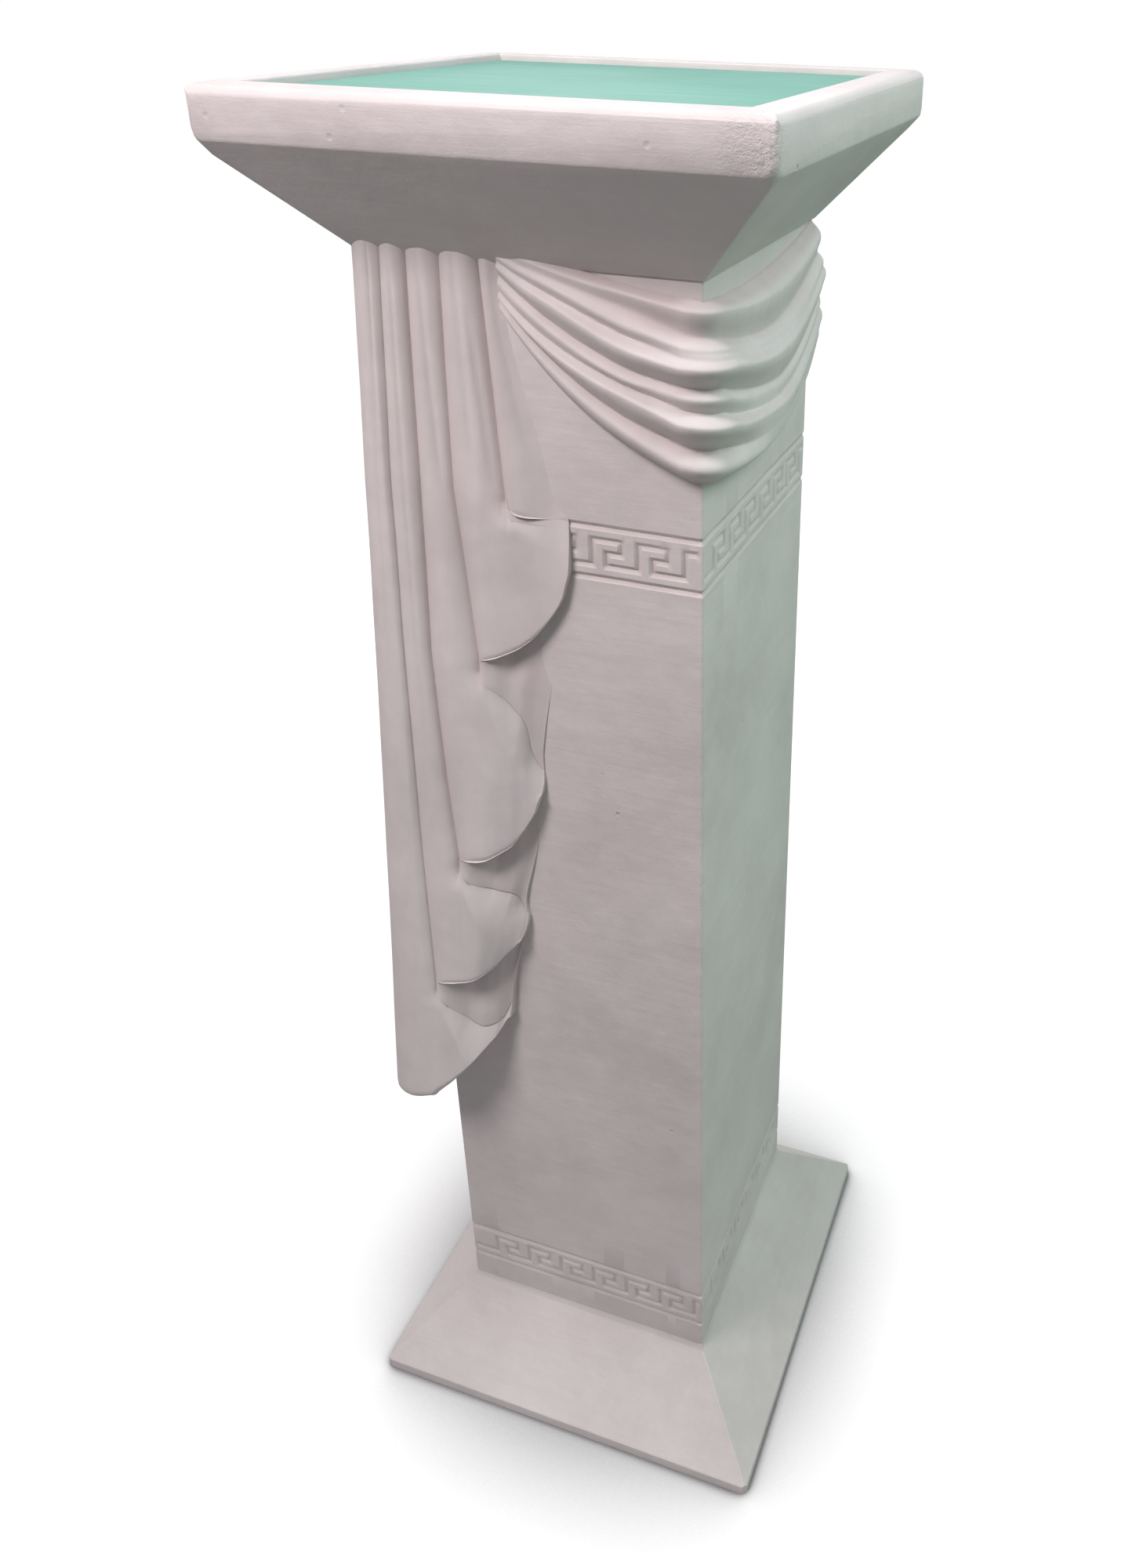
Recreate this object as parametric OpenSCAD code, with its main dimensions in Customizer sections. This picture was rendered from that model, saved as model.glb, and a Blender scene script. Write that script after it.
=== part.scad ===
// Draped pedestal column: a square shaft on a sloping base under a flared top slab,
// cast in one piece with a cloth cascade, a swag and two bands of key pattern.
// The origin is the middle of the underside; the front face looks along -Y.

/* [Overall] */
// Height from the floor to the top of the rim
total_h = 1000; // [800:1:1300]
// Width of the square shaft
shaft_w = 201; // [160:1:250]

/* [Base] */
// Width of the base where it stands
base_w = 316; // [265:1:390]
// Height of the base up to the shaft
base_h = 69; // [40:1:110]
// Height of the upright edge of the base
base_edge = 8; // [4:1:20]
// Radius of the upright corners of the base
base_corner = 5; // [2:1:12]

/* [Top] */
// Width of the square slab
slab_w = 312; // [265:1:390]
// Thickness of the slab
slab_h = 27; // [20:1:45]
// Height of the sloping underside below the slab
flare_h = 60; // [40:1:90]
// Ledge of the slope past the shaft
flare_ledge = 1.5; // [0.5:0.5:4]
// Radius of the top edge of the slab
slab_round = 8; // [3:1:10]
// Radius of the upright corners of the slab
slab_corner = 6; // [2:1:14]

/* [Inset panel] */
// Width of the rim around the pocket
rim_w = 20; // [14:1:40]
// Thickness of the panel
panel_t = 6; // [3:1:10]
// Drop from the rim to the face of the panel
panel_drop = 4; // [1:1:8]
// Gap between the panel and the pocket wall
panel_gap = 1; // [0.5:0.5:2]

/* [Key bands] */
// Middle of the upper band below the slope
upper_band_drop = 161; // [140:1:220]
// Middle of the lower band above the base
lower_band_rise = 43.5; // [30:0.5:120]
// Height of a band between its border lines
band_h = 32; // [28:1:44]
// Width of a cut line
cut_w = 4; // [2:0.1:5]
// Depth of a cut line
cut_d = 1.4; // [0.6:0.1:2]
// Keys on each face
keys = 7; // [5:1:9]

/* [Cascade] */
// Length of the hanging cloth at the corner
cascade_len = 621; // [450:1:700]
// Thickness of the cloth at its top
cascade_top = 8; // [5:1:10]
// Thickness of the cloth at its tail
cascade_tail = 46; // [25:1:60]
// Depth of the pleats
pleat_d = 5; // [2:1:8]
// Step from a hem to the cloth behind it, as a share of the thickness
hem_step = 0.85; // [0.3:0.05:0.85]
// Length over which the cloth swells out again below a hem
hem_swell = 42; // [25:1:60]

/* [Swag] */
// Drop of the swag at its lowest
swag_drop = 120; // [80:1:140]
// Thickness of the swag
swag_t = 17; // [10:1:26]
// Depth of the folds
fold_d = 5; // [2:1:8]

/* [Hidden] */
$fn = 48;
half = shaft_w / 2;
neck_z = total_h - slab_h - flare_h;   // underside of the slope
pocket_w = slab_w - 2 * rim_w;
pocket_z = total_h - panel_drop - panel_t;
wrap_r = 8;                            // cloth's inner radius round a corner
wrap_c = half - wrap_r;
wrap_arc = wrap_r * PI / 4;            // half the turn of a corner
wrap_side = 2 * (wrap_c + wrap_arc);   // from one corner to the next
sunk = 6;                              // how far the cloth is rooted in the shaft
tuck = 16;                             // how far the cloth runs up into the slope
step_z = 2.5;                          // fall of a step at a hem
edge_out = 1;                          // least the cloth stands out from the shaft
key_pitch = shaft_w / keys;
key_rise = band_h / 4;                 // from the middle of a band to its bars
key_lead = [0.62, 0.79];               // where the upper and lower rows start, in pitches
key_margin = 4;                        // end of a row short of the corner

function smooth(t) = t <= 0 ? 0 : t >= 1 ? 1 : t * t * (3 - 2 * t);
function ridge(x, w) = exp(-pow(x / w, 2));

// A point s along the lap round the shaft, out from its faces. Corner 0 is front
// right, corner 1 back right and corner -1 front left.
function turned(p, n) = [for (v = [[cos(90 * n), -sin(90 * n)], [sin(90 * n), cos(90 * n)]]) v * p];
function near(d, out) =
    d > wrap_arc ? [half + out, d - wrap_arc - wrap_c] :
    d < -wrap_arc ? [wrap_c + d + wrap_arc, -half - out] :
    let (a = d / wrap_r * 180 / PI - 45) [wrap_c, -wrap_c] + (wrap_r + out) * [cos(a), sin(a)];
function lap(s, out, z) =
    let (n = round(s / wrap_side), p = turned(near(s - n * wrap_side, out), n)) [p[0], p[1], z];

// A closed skin over rows of points: its rim drops to the root loop, which is closed
// to one point on the shaft's axis.
module skin(rows, roots, core) {
    n = len(rows);
    m = len(rows[0]);
    rim = concat(
        [for (j = [0 : m - 1]) [0, j]],
        [for (i = [1 : n - 1]) [i, m - 1]],
        [for (j = [m - 2 : -1 : 0]) [n - 1, j]],
        [for (i = [n - 2 : -1 : 1]) [i, 0]]);
    k = len(rim);
    first = n * m;
    points = concat([for (r = rows) each r], [for (e = rim) roots[e[0]][e[1]]], [core]);
    faces = concat(
        [for (i = [0 : n - 2], j = [0 : m - 2]) [i * m + j, i * m + j + 1, (i + 1) * m + j]],
        [for (i = [0 : n - 2], j = [0 : m - 2])
            [(i + 1) * m + j, i * m + j + 1, (i + 1) * m + j + 1]],
        [for (e = [0 : k - 1]) let (a = rim[e], b = rim[(e + 1) % k])
            [b[0] * m + b[1], a[0] * m + a[1], first + e]],
        [for (e = [0 : k - 1]) let (b = rim[(e + 1) % k])
            [b[0] * m + b[1], first + e, first + (e + 1) % k]],
        [for (e = [0 : k - 1]) [first + (e + 1) % k, first + e, first + k]]);
    polyhedron(points, faces);
}

// Cascade. Its fold lines fan out from the top: fold 0 is the corner, folds 1 to 4 are
// valleys and fold 5 is the outer edge. Each row gives a share of the length, and the
// distance of each fold from the corner there.
fan = [
    [0.00, 0, 13, 28, 48, 71],
    [0.21, 0, 9, 27, 48, 80],
    [0.385, 0, 9, 26, 58, 84],
    [0.53, 0, 10, 31, 57, 76],
    [0.625, 0, 11, 36, 56, 71],
    [0.79, 0, 14, 30, 42, 53],
    [1.00, 0, 11, 22, 32, 41]];
outer_edge = [
    [0, 86], [0.21, 115.5], [0.27, 118], [0.32, 114], [0.385, 104], [0.45, 96], [0.5, 91.5], [0.53, 92],
    [0.57, 87.5], [0.625, 82], [0.69, 72.5], [0.716, 74], [0.76, 66], [0.8, 60.5], [0.85, 56.5], [1, 48]];
function fan_at(t, k) = k == 5 ? lookup(t, outer_edge) : lookup(t, [for (r = fan) [r[0], r[k + 1]]]);
function fold_s(u, t) =
    let (k = min(floor(u), 4), f = u - k)
    fan_at(t, k) * (1 - f) + fan_at(t, k + 1) * f;

// Hems: the fold each one starts from, its share of the length there, its share of the
// step, and whether the cloth behind it sinks away towards its outer edge.
hems = [[4, 0.205, 0.6, 0], [3, 0.385, 1, 1], [2, 0.625, 0.95, 0.8], [1, 0.79, 0.73, 0.35]];
// Lines of the hems, and of the ends of the cloth behind them: fall from the start, as a
// share of the length, against the way from the fold to the outer edge.
hem_lines = [
    [[0, 0], [0.13, 0.0225], [0.4, 0.0255], [1, 0.0265]],
    [[0, 0], [0.39, -0.011], [0.67, -0.0265], [0.85, -0.047], [0.93, -0.0625], [1, -0.1]],
    [[0, 0], [0.33, -0.0045], [0.64, -0.0195], [0.83, -0.038], [0.95, -0.0595], [1, -0.083]],
    [[0, 0.003], [0.43, -0.004], [0.65, -0.014], [0.85, -0.031], [1, -0.052]]];
end_lines = [
    [[0, 0.008], [0.13, 0.029], [1, 0.034]],
    [[0, 0.01], [0.12, 0.036], [0.31, 0.051], [0.57, 0.0715], [0.66, 0.085], [0.74, 0.104], [1, 0.128]],
    [[0, 0.01], [0.1, 0.042], [0.3, 0.055], [0.68, 0.06], [0.87, 0.067], [1, 0.08]],
    [[0, 0.012], [0.07, 0.055], [0.17, 0.075], [0.4, 0.0855], [0.63, 0.08], [0.87, 0.066], [1, 0.05]]];
// The tail, from the outer edge on the left face round the corner to the one in front
tail = [
    [-5, 0.85], [-3, 0.9], [-2, 0.935], [-1, 0.968], [-0.5, 0.988], [-0.25, 0.995], [0, 0.993],
    [0.25, 0.986], [0.5, 0.972], [0.75, 0.9635], [1, 0.958], [2, 0.933], [3, 0.908], [4, 0.884], [5, 0.862]];
fall = step_z / cascade_len;
function past(u, h) = max(0, (u - h[0]) / (5 - h[0]));

// Station 0 is the top and the last is the tail. Between them each hem has four: its
// edge, the foot of its step, the end of the cloth behind and the start of the next.
last = 4 * len(hems) + 1;
function station(v, n) =
    n == 0 ? -tuck / cascade_len :
    n == last ? lookup(v, tail) :
    let (i = floor((n - 1) / 4), k = (n - 1) % 4, x = past(abs(v), hems[i]))
    hems[i][1] + k % 2 * fall + lookup(x, k < 2 ? hem_lines[i] : end_lines[i]);
function spans(n) = n == 0 || n == last - 1 ? 6 : n % 2 == 1 ? 1 : n % 4 == 2 ? 3 : 5;

// How far the cloth is set back: fully behind a hem, then less as the next layer swells
// out, which is quicker near the fold.
function set_back(n, f, since, x) =
    n == 0 ? 0 :
    n % 4 == 1 ? f :
    n % 4 == 0 ? pow(1 - min(1, since / hem_swell / (0.15 + 0.85 * smooth(x / 0.6))), 2) : 1;

function thick(t) = cascade_top + (cascade_tail - cascade_top) * (0.85 * t + 0.15 * t * t);
function valley(u, t) =
    let (k = round(u))
    k < 1 || k > 4 ? 0 : ridge(u - k, 0.22) * (1 - smooth((t - hems[4 - k][1]) / 0.04));
function merge(u, t) = smooth(u - 4) * (1 - smooth((t - 0.2) / 0.12));
function edge_thin(u, t) = 1 - 0.45 * smooth(u - 4) * smooth((t - 0.2) / 0.05);
function cover(u, t, back, hem, plain) =
    let (body = thick(t) * (1 - 0.075 * u) * (1 - 0.85 * merge(u, t)) * edge_thin(u, t)
        * (1 - back * plain * hem_step * hem[2] * smooth(4 * past(u, hem))))
    max(edge_out, body * (1 - back * hem[3] * smooth((u - 3.9) / 1.1)) - pleat_d * plain * valley(u, t));

module cascade() {
    cols = [for (u = [-20 : 20]) u / 4];
    rows = [for (n = [0 : last - 1]) for (k = [0 : spans(n) - 1]) [n, k / spans(n)]];
    grid = concat(rows, [[last - 1, 1]]);
    function place(v, row, out, rise) =
        let (
            u = abs(v),
            n = row[0],
            plain = v < 0 ? 0.6 : 1,
            start = station(v, n),
            t = start * (1 - row[1]) + station(v, n + 1) * row[1],
            hem = hems[min(3, floor(max(0, n - 1) / 4))],
            back = set_back(n, row[1], (t - start) * cascade_len, past(u, hem)),
            depth = out == undef ? cover(u, t, back, hem, plain) : out)
        lap(-wrap_side + sign(v) * fold_s(u, t), depth, neck_z - t * cascade_len + rise);
    skin(
        [for (r = grid) [for (v = cols) place(v, r, undef, 0)]],
        [for (r = grid) [for (v = cols) place(v, r, -sunk, r[1] == 1 ? 12 : 0)]],
        [0, 0, neck_z - cascade_len / 2]);
}

// Swag. It hangs in a catenary from beside the cascade, round the front right corner
// and past the back right one, and its folds fan out between its top and lower edges.
swag_from = fan_at(0, 5) - 2 - wrap_side;
swag_to = wrap_side + 46;
swag_mid = (swag_from + swag_to) / 2;
swag_half = (swag_to - swag_from) / 2;
swag_gap = 14;                          // hang of its top edge below the slope
swag_end = 28;                          // height of its ends
function hang(s) = let (x = (s - swag_mid) / swag_half / 0.46) (exp(x) + exp(-x)) / 2 - 1;
function swag_top(s) = neck_z - swag_gap * (1 - pow((s - swag_mid) / swag_half / 0.74, 2));
function swag_low(s) = neck_z - swag_drop + (swag_drop - swag_end) * hang(s) / hang(swag_from);

// Folds: height as a share of the fold depth, width, and place between the edges at the
// left end, the first corner, the far third and the right end.
folds = [
    [0.5, 0.07, 0.10, 0.06, 0.10, 0.12],
    [-1.1, 0.10, 0.24, 0.19, 0.28, 0.26],
    [0.9, 0.09, 0.40, 0.33, 0.41, 0.40],
    [-1.2, 0.07, 0.60, 0.46, 0.60, 0.60],
    [0.9, 0.08, 0.76, 0.62, 0.72, 0.74],
    [-1.0, 0.06, 0.86, 0.80, 0.84, 0.86],
    [0.5, 0.07, 0.94, 0.90, 0.92, 0.94]];
function fold_p(s, f) =
    lookup(s, [[swag_from, f[2]], [0, f[3]], [swag_half / 2 + swag_mid, f[4]], [swag_to, f[5]]]);
function add(v, i = 0) = i < len(v) ? v[i] + add(v, i + 1) : 0;
function swag_out(s, p) =
    let (
        x = abs((s - swag_mid) / swag_half),
        full = 1 - 0.7 * pow(x, 2.6),
        round_off = 1 - 0.5 * (1 - smooth(p / 0.25)) - 0.45 * smooth((p - 0.9) / 0.1))
    full * (swag_t * round_off + fold_d * add([for (f = folds) f[0] * ridge(p - fold_p(s, f), f[1])]));

module swag() {
    corner = [for (k = [-2 : 2]) k / 2 * wrap_arc];
    cols = concat(
        [for (k = [0 : 8]) swag_from + (-wrap_arc - swag_from) * k / 9],
        corner,
        [for (k = [1 : 14]) wrap_arc + (wrap_side - 2 * wrap_arc) * k / 15],
        [for (c = corner) wrap_side + c],
        [for (k = [1 : 4]) wrap_side + wrap_arc + (swag_to - wrap_side - wrap_arc) * k / 4]);
    shares = [for (k = [0 : 22]) k / 22];
    function height(s, p) = swag_top(s) * (1 - p) + swag_low(s) * p;
    skin(
        [for (p = shares) [for (s = cols) lap(s, swag_out(s, p), height(s, p))]],
        [for (p = shares) [for (s = cols) lap(s, -sunk, height(s, p))]],
        [0, 0, neck_z - swag_drop / 2]);
}

// A solid with the same outline seen from the front and from the side
module mitred(width) {
    intersection() {
        rotate([90, 0, 0]) linear_extrude(width, center = true) children();
        rotate([90, 0, 90]) linear_extrude(width, center = true) children();
    }
}

module upright_prism(width, corner_r, height) {
    side = width - 2 * corner_r;
    linear_extrude(height) union() {
        square([side, width], center = true);
        square([width, side], center = true);
        for (x = [-1, 1], y = [-1, 1]) translate([x, y] * side / 2) circle(corner_r);
    }
}

module base() {
    intersection() {
        mitred(base_w) polygon([
            [-base_w / 2, 0], [base_w / 2, 0], [base_w / 2, base_edge],
            [half, base_h], [-half, base_h], [-base_w / 2, base_edge]]);
        upright_prism(base_w, base_corner, base_h);
    }
}

module capital() {
    low = half + flare_ledge;
    edge = slab_w / 2;
    top = flare_h + slab_h;
    intersection() {
        translate([0, 0, neck_z]) mitred(slab_w) union() {
            polygon([
                [-low, 0], [low, 0], [edge, flare_h], [edge, top - slab_round],
                [edge - slab_round, top], [slab_round - edge, top],
                [-edge, top - slab_round], [-edge, flare_h]]);
            for (x = [-1, 1]) translate([x * (edge - slab_round), top - slab_round]) circle(slab_round);
        }
        upright_prism(slab_w, slab_corner, total_h);
    }
}

// One stroke of a cut line between two points along the face or up it
module stroke(a, b) {
    low = [min(a[0], b[0]), min(a[1], b[1])] - [cut_w, cut_w] / 2;
    translate(low) square([abs(b[0] - a[0]), abs(b[1] - a[1])] + [cut_w, cut_w]);
}

// The line runs up, along, back down to the middle, inwards, down, and on to the next key
key_line = [[0, -1], [0, 1], [0.64, 1], [0.64, 0], [0.31, 0], [0.31, -1], [1, -1]];
module key(strokes) {
    for (i = [0 : strokes - 1]) stroke(
        [key_line[i][0] * key_pitch, key_line[i][1] * key_rise],
        [key_line[i + 1][0] * key_pitch, key_line[i + 1][1] * key_rise]);
}

module key_row(lead) {
    end = half - key_margin;
    first = lead * key_pitch - half;
    stroke([-end, -key_rise], [first, -key_rise]);
    for (k = [0 : keys - 2]) translate([first + k * key_pitch, 0]) key(6);
    translate([first + (keys - 1) * key_pitch, 0]) key(1);
    stroke([first + (keys - 1) * key_pitch, key_rise], [end, key_rise]);
}

module key_band(z, lead) {
    for (y = [-1, 1]) translate([0, 0, z + y * band_h / 2 - cut_w / 2]) linear_extrude(cut_w) difference() {
        square(shaft_w + 2, center = true);
        square(shaft_w - 2 * cut_d, center = true);
    }
    for (side = [0 : 3]) rotate([90, 0, 90 * side]) translate([0, z, half - cut_d])
        linear_extrude(cut_d + 1) key_row(lead);
}

module shaft() {
    difference() {
        translate([-half, -half, base_h / 2]) cube([shaft_w, shaft_w, neck_z - base_h / 2 + 1]);
        key_band(neck_z - upper_band_drop, key_lead[0]);
        key_band(base_h + lower_band_rise, key_lead[1]);
    }
}

module pedestal() {
    color([0.84, 0.80, 0.79]) difference() {
        union() {
            base();
            shaft();
            capital();
            cascade();
            swag();
        }
        translate([-pocket_w / 2, -pocket_w / 2, pocket_z]) cube([pocket_w, pocket_w, total_h]);
    }
}

module top_panel() {
    side = pocket_w - 2 * panel_gap;
    color([0.50, 0.73, 0.66]) translate([-side / 2, -side / 2, pocket_z]) cube([side, side, panel_t]);
}

pedestal();
top_panel();
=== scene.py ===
import math
import bmesh
import bpy
from mathutils import Matrix, Vector, noise


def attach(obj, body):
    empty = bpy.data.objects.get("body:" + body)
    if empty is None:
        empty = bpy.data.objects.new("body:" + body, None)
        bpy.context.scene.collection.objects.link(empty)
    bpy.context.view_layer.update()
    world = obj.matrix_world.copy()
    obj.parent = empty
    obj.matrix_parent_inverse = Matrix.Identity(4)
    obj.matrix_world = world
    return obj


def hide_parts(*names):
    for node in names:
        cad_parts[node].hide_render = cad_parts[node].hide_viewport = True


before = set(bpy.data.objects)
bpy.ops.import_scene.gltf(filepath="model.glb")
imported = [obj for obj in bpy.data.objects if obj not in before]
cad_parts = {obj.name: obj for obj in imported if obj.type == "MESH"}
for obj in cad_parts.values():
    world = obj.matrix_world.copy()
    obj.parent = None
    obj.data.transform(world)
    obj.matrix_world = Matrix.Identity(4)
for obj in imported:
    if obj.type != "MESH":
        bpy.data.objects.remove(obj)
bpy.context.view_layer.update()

mm = 0.001
pi = math.pi


def smooth(t):
    t = min(1.0, max(0.0, t))
    return t * t * (3 - 2 * t)


def curveAt(xs, ys, x):
    # smooth curve through the points, flat past both ends
    if x <= xs[0]:
        return ys[0]
    if x >= xs[-1]:
        return ys[-1]
    k = max(i for i in range(len(xs) - 1) if xs[i] <= x)
    h = xs[k + 1] - xs[k]
    t = (x - xs[k]) / h

    def slope(i):
        if i == 0 or i == len(xs) - 1:
            return 0.0
        return (ys[i + 1] - ys[i - 1]) / (xs[i + 1] - xs[i - 1])

    a, b = slope(k) * h, slope(k + 1) * h
    return (ys[k] * (2 * t ** 3 - 3 * t ** 2 + 1) + ys[k + 1] * (3 * t ** 2 - 2 * t ** 3)
            + a * (t ** 3 - 2 * t ** 2 + t) + b * (t ** 3 - t ** 2))


def lineAt(xs, ys, x):
    if x <= xs[0]:
        return ys[0]
    for i in range(len(xs) - 1):
        if x <= xs[i + 1]:
            f = (x - xs[i]) / (xs[i + 1] - xs[i])
            return ys[i] * (1 - f) + ys[i + 1] * f
    return ys[-1]


# sizes that several pieces share, in millimetres
column = {"height": 1000.0, "shaftWidth": 201.0, "slabWidth": 312.0, "slabThickness": 27.0,
          "flareHeight": 60.0, "baseWidth": 316.0, "baseHeight": 69.0}
halfShaft = column["shaftWidth"] / 2
neck = column["height"] - column["slabThickness"] - column["flareHeight"]
slabBottom = column["height"] - column["slabThickness"]


def lapPoint(s, out, z, radius):
    # s runs round the shaft: corner 0 is front right, corner 1 back right
    c = halfShaft - radius
    arc = radius * pi / 4
    side = 2 * (c + arc)
    n = round(s / side)
    d = s - n * side
    if d > arc:
        x, y = halfShaft + out, d - arc - c
    elif d < -arc:
        x, y = c + d + arc, -halfShaft - out
    else:
        a = d / radius - pi / 4
        x, y = c + (radius + out) * math.cos(a), -c + (radius + out) * math.sin(a)
    for i in range(n % 4):
        x, y = -y, x
    return Vector((x, y, z))


plaster = {
    "colour": (0.70, 0.665, 0.655), "shade": (0.60, 0.565, 0.555), "mottle": (0.74, 0.72, 0.70),
    "streak": (0.60, 0.55, 0.545), "dustAndShade": (0.40, 0.315, 0.305), "pit": (0.42, 0.38, 0.37),
    "roughness": 0.62, "specular": 0.38,
    # how coarse each pattern is, in repeats to the metre
    "cloudScale": 9, "mottleScale": 55, "grainScale": 1400, "lumpScale": 34,
    "pitScale": 46, "pitGroupScale": 17, "patchScale": 260,
    # how deep each pattern is cut, in metres
    "grain": 0.00012, "brush": 0.00022, "lumps": 0.0011, "pitDepth": 0.0005, "chipDepth": 0.00024,
    # a rough patch by the slab's near corner and four chips along its front, with the radii they fade between
    "patch": (0.146, -0.156, 0.986), "patchFade": (0.005, 0.026),
    "chips": ((-0.1427, -0.156, 0.9849), (-0.0629, -0.156, 0.9918),
              (-0.0719, -0.156, 0.9783), (0.0941, -0.156, 0.9836)), "chipFade": (0.0006, 0.0020),
}
gloss = {
    "colour": (0.190, 0.415, 0.345), "deep": (0.165, 0.370, 0.308), "wiped": (0.26, 0.51, 0.43),
    "roughness": 0.50, "specular": 0.06,
    "cloudScale": 7, "skinScale": 420, "wipeStretch": (9, 120, 9), "scratchStretch": (520, 11, 11),
    "skin": 0.00006, "scratch": 0.00005,
}


def newMaterial(name):
    material = bpy.data.materials.new(name)
    material.use_nodes = True
    nodes = material.node_tree.nodes
    nodes.clear()
    return material, nodes, material.node_tree.links


def noiseNode(nodes, links, source, scale, detail, stretch=(1, 1, 1), roughness=0.5):
    mapping = nodes.new("ShaderNodeMapping")
    mapping.inputs["Scale"].default_value = stretch
    links.new(source, mapping.inputs["Vector"])
    tex = nodes.new("ShaderNodeTexNoise")
    tex.inputs["Scale"].default_value = scale
    tex.inputs["Detail"].default_value = detail
    tex.inputs["Roughness"].default_value = roughness
    links.new(mapping.outputs["Vector"], tex.inputs["Vector"])
    return tex.outputs["Fac"]


def rangeNode(nodes, links, source, low, high, outLow=0.0, outHigh=1.0):
    node = nodes.new("ShaderNodeMapRange")
    for socket, value in zip(("From Min", "From Max", "To Min", "To Max"), (low, high, outLow, outHigh)):
        node.inputs[socket].default_value = value
    links.new(source, node.inputs["Value"])
    return node.outputs["Result"]


def mathNode(nodes, links, kind, a, b):
    node = nodes.new("ShaderNodeMath")
    node.operation = kind
    for socket, value in zip(node.inputs, (a, b)):
        if isinstance(value, (int, float)):
            socket.default_value = value
        else:
            links.new(value, socket)
    return node.outputs["Value"]


def mixColour(nodes, links, factor, a, b):
    node = nodes.new("ShaderNodeMix")
    node.data_type = "RGBA"
    for socket, value in ((node.inputs[0], factor), (node.inputs[6], a), (node.inputs[7], b)):
        if isinstance(value, tuple):
            socket.default_value = (*value, 1)
        elif isinstance(value, (int, float)):
            socket.default_value = value
        else:
            links.new(value, socket)
    return node.outputs[2]


def bumpNode(nodes, links, height, distance, normal=None):
    node = nodes.new("ShaderNodeBump")
    node.inputs["Distance"].default_value = distance
    links.new(height, node.inputs["Height"])
    if normal is not None:
        links.new(normal, node.inputs["Normal"])
    return node.outputs["Normal"]


def nearPoint(nodes, links, coords, point, fade):
    # 1 within a radius of a point, fading to 0 at a larger one
    node = nodes.new("ShaderNodeVectorMath")
    node.operation = "DISTANCE"
    links.new(coords, node.inputs[0])
    node.inputs[1].default_value = point
    return rangeNode(nodes, links, node.outputs["Value"], fade[0], fade[1], 1, 0)


def finishShader(nodes, links, colour, roughness, normal, specular):
    shader = nodes.new("ShaderNodeBsdfPrincipled")
    links.new(colour, shader.inputs["Base Color"])
    links.new(roughness, shader.inputs["Roughness"])
    links.new(normal, shader.inputs["Normal"])
    shader.inputs["Specular IOR Level"].default_value = specular
    output = nodes.new("ShaderNodeOutputMaterial")
    links.new(shader.outputs["BSDF"], output.inputs["Surface"])


def makePlaster(name, streak, deepen):
    # painted plaster: brush streaks, soft lumps, small pits, and dust with painted shade darkening the creases
    material, nodes, links = newMaterial(name)
    coords = nodes.new("ShaderNodeTexCoord").outputs["Object"]
    cloudy = noiseNode(nodes, links, coords, plaster["cloudScale"], 4)
    mottle = noiseNode(nodes, links, coords, plaster["mottleScale"], 5, roughness=0.6)
    brush = noiseNode(nodes, links, coords, 1, 5, streak, 0.62)
    grain = noiseNode(nodes, links, coords, plaster["grainScale"], 3)
    lumps = noiseNode(nodes, links, coords, plaster["lumpScale"], 3)

    # pits come in loose groups
    cells = nodes.new("ShaderNodeTexVoronoi")
    cells.inputs["Scale"].default_value = plaster["pitScale"]
    links.new(coords, cells.inputs["Vector"])
    hole = rangeNode(nodes, links, cells.outputs["Distance"], 0.03, 0.085, 1, 0)
    group = rangeNode(nodes, links, noiseNode(nodes, links, coords, plaster["pitGroupScale"], 2), 0.60, 0.66)
    pits = mathNode(nodes, links, "MULTIPLY", hole, group)

    crumbs = noiseNode(nodes, links, coords, plaster["patchScale"], 4, roughness=0.7)
    rough = mathNode(nodes, links, "MULTIPLY",
                     nearPoint(nodes, links, coords, plaster["patch"], plaster["patchFade"]),
                     rangeNode(nodes, links, crumbs, 0.42, 0.62))
    for chip in plaster["chips"]:
        rough = mathNode(nodes, links, "MAXIMUM", rough,
                         nearPoint(nodes, links, coords, chip, plaster["chipFade"]))

    # the recess attribute darkens creases, grooves and the steps under the hems: real dust and painted shade
    # together
    crease = nodes.new("ShaderNodeAttribute")
    crease.attribute_name = "recess"
    dustAndShadeMask = mathNode(nodes, links, "MULTIPLY", crease.outputs["Fac"],
                     rangeNode(nodes, links, mottle, 0.3, 0.7, 0.65 * deepen, deepen))

    # each layer of colour: where it lies, and the colour laid there
    colour = plaster["colour"]
    for factor, layer in ((rangeNode(nodes, links, cloudy, 0.35, 0.68), "shade"),
                          (rangeNode(nodes, links, mottle, 0.42, 0.72, 0, 0.35), "mottle"),
                          (rangeNode(nodes, links, brush, 0.45, 0.75, 0, 0.30), "streak"),
                          (dustAndShadeMask, "dustAndShade"),
                          (mathNode(nodes, links, "MULTIPLY", pits, 0.35), "pit")):
        colour = mixColour(nodes, links, factor, colour, plaster[layer])

    normal = bumpNode(nodes, links, lumps, plaster["lumps"])
    normal = bumpNode(nodes, links, brush, plaster["brush"], normal)
    normal = bumpNode(nodes, links, mathNode(nodes, links, "MULTIPLY", pits, -1), plaster["pitDepth"], normal)
    normal = bumpNode(nodes, links, mathNode(nodes, links, "MULTIPLY", rough, -1), plaster["chipDepth"], normal)
    normal = bumpNode(nodes, links, grain, plaster["grain"], normal)

    low, high = plaster["roughness"] - 0.09, plaster["roughness"] + 0.10
    finishShader(nodes, links, colour, rangeNode(nodes, links, mottle, 0.3, 0.7, low, high), normal,
                 plaster["specular"])
    return material


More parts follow.
